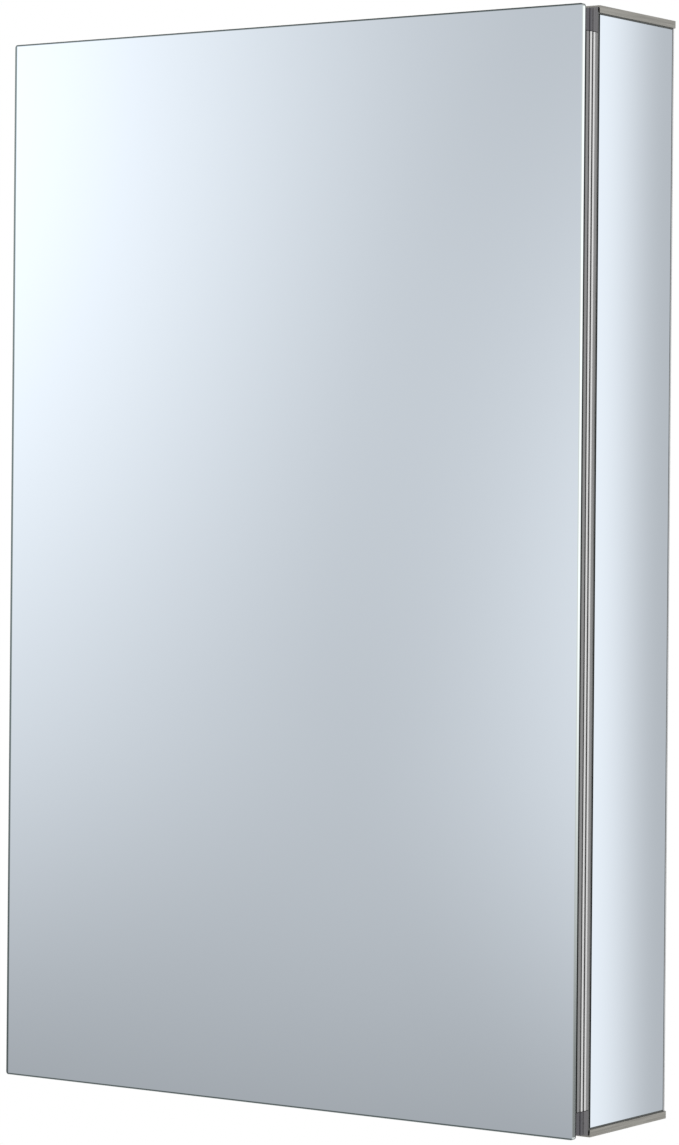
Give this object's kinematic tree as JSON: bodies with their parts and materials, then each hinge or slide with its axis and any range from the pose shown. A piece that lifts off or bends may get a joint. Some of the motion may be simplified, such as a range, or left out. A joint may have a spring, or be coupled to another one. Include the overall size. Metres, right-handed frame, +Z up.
{
  "type": "mirrored medicine cabinet",
  "caption": "Wall-mounted bathroom cabinet with one mirrored door on corner pivots, mirrored sides and glass shelves inside.",
  "frame": {"origin": "middle of the back, on the wall plane, at the centre of the four wall screws", "axes": "+Z up, +Y into the wall, so the door faces -Y; +X to the right seen from the front"},
  "size_m": [0.49, 0.126, 0.7634],
  "materials": {
    "mirror": "silvered float glass, polished edges",
    "shelf_glass": "clear tempered glass, polished edges",
    "frame_aluminium": "satin anodised, ribbed along its length",
    "panel_aluminium": "satin anodised",
    "rail_aluminium": "mill finish extrusion",
    "brushed_trim": "warm grey, brushed lengthwise",
    "zinc_steel": "zinc plated",
    "magnet_nickel": "nickel plated",
    "pin_steel": "nickel plated",
    "cap_plastic": "moulded, fine satin texture",
    "catch_plastic": "moulded",
    "bush_plastic": "moulded, self-lubricating",
    "seal_rubber": "soft, matt",
    "core_foam": "closed-cell foam"
  },
  "bodies": {
    "cabinet": {"back_mirror": "mirror", "back_panel": "panel_aluminium", "bottom_panel": "panel_aluminium", "bottom_trim": "brushed_trim", "bracket_screws": "zinc_steel", "catch_housing_lower": "catch_plastic", "catch_housing_upper": "catch_plastic", "catch_magnet_lower": "magnet_nickel", "catch_magnet_upper": "magnet_nickel", "catch_screws": "zinc_steel", "corner_bracket_bottom_left": "zinc_steel", "corner_bracket_bottom_right": "zinc_steel", "corner_bracket_top_left": "zinc_steel", "corner_bracket_top_right": "zinc_steel", "door_seal_bottom": "seal_rubber", "door_seal_left": "seal_rubber", "door_seal_right": "seal_rubber", "door_seal_top": "seal_rubber", "glass_shelf_lower": "shelf_glass", "glass_shelf_middle": "shelf_glass", "glass_shelf_upper": "shelf_glass", "hinge_bracket_bottom": "zinc_steel", "hinge_bracket_screws": "zinc_steel", "hinge_bracket_top": "zinc_steel", "mirror_bead_left": "seal_rubber", "mirror_bead_right": "seal_rubber", "pivot_pin_bottom": "zinc_steel", "pivot_pin_top": "zinc_steel", "rail_rivets": "zinc_steel", "shelf_pins_lower": "pin_steel", "shelf_pins_middle": "pin_steel", "shelf_pins_upper": "pin_steel", "side_mirror_left": "mirror", "side_mirror_right": "mirror", "side_panel_left": "panel_aluminium", "side_panel_right": "panel_aluminium", "top_panel": "panel_aluminium", "top_trim": "brushed_trim", "wall_rail_lower": "rail_aluminium", "wall_rail_upper": "rail_aluminium"},
    "door": {"cap_screws": "zinc_steel", "core_strips": "core_foam", "corner_cap_bottom_left": "cap_plastic", "corner_cap_bottom_right": "cap_plastic", "corner_cap_top_left": "cap_plastic", "corner_cap_top_right": "cap_plastic", "door_rail_bottom": "frame_aluminium", "door_rail_top": "frame_aluminium", "door_stile_left": "frame_aluminium", "door_stile_right": "frame_aluminium", "front_mirror": "mirror", "inner_mirror": "mirror", "pivot_bush_bottom": "bush_plastic", "pivot_bush_top": "bush_plastic", "strike_plate_lower": "zinc_steel", "strike_plate_upper": "zinc_steel"}
  },
  "joints": [
    {"name": "door_hinge", "type": "hinge", "parent": "cabinet", "child": "door", "pos_m": [-0.2394, -0.1167, 0], "axis": [0, 0, -1], "range_deg": [0, 105]}
  ]
}
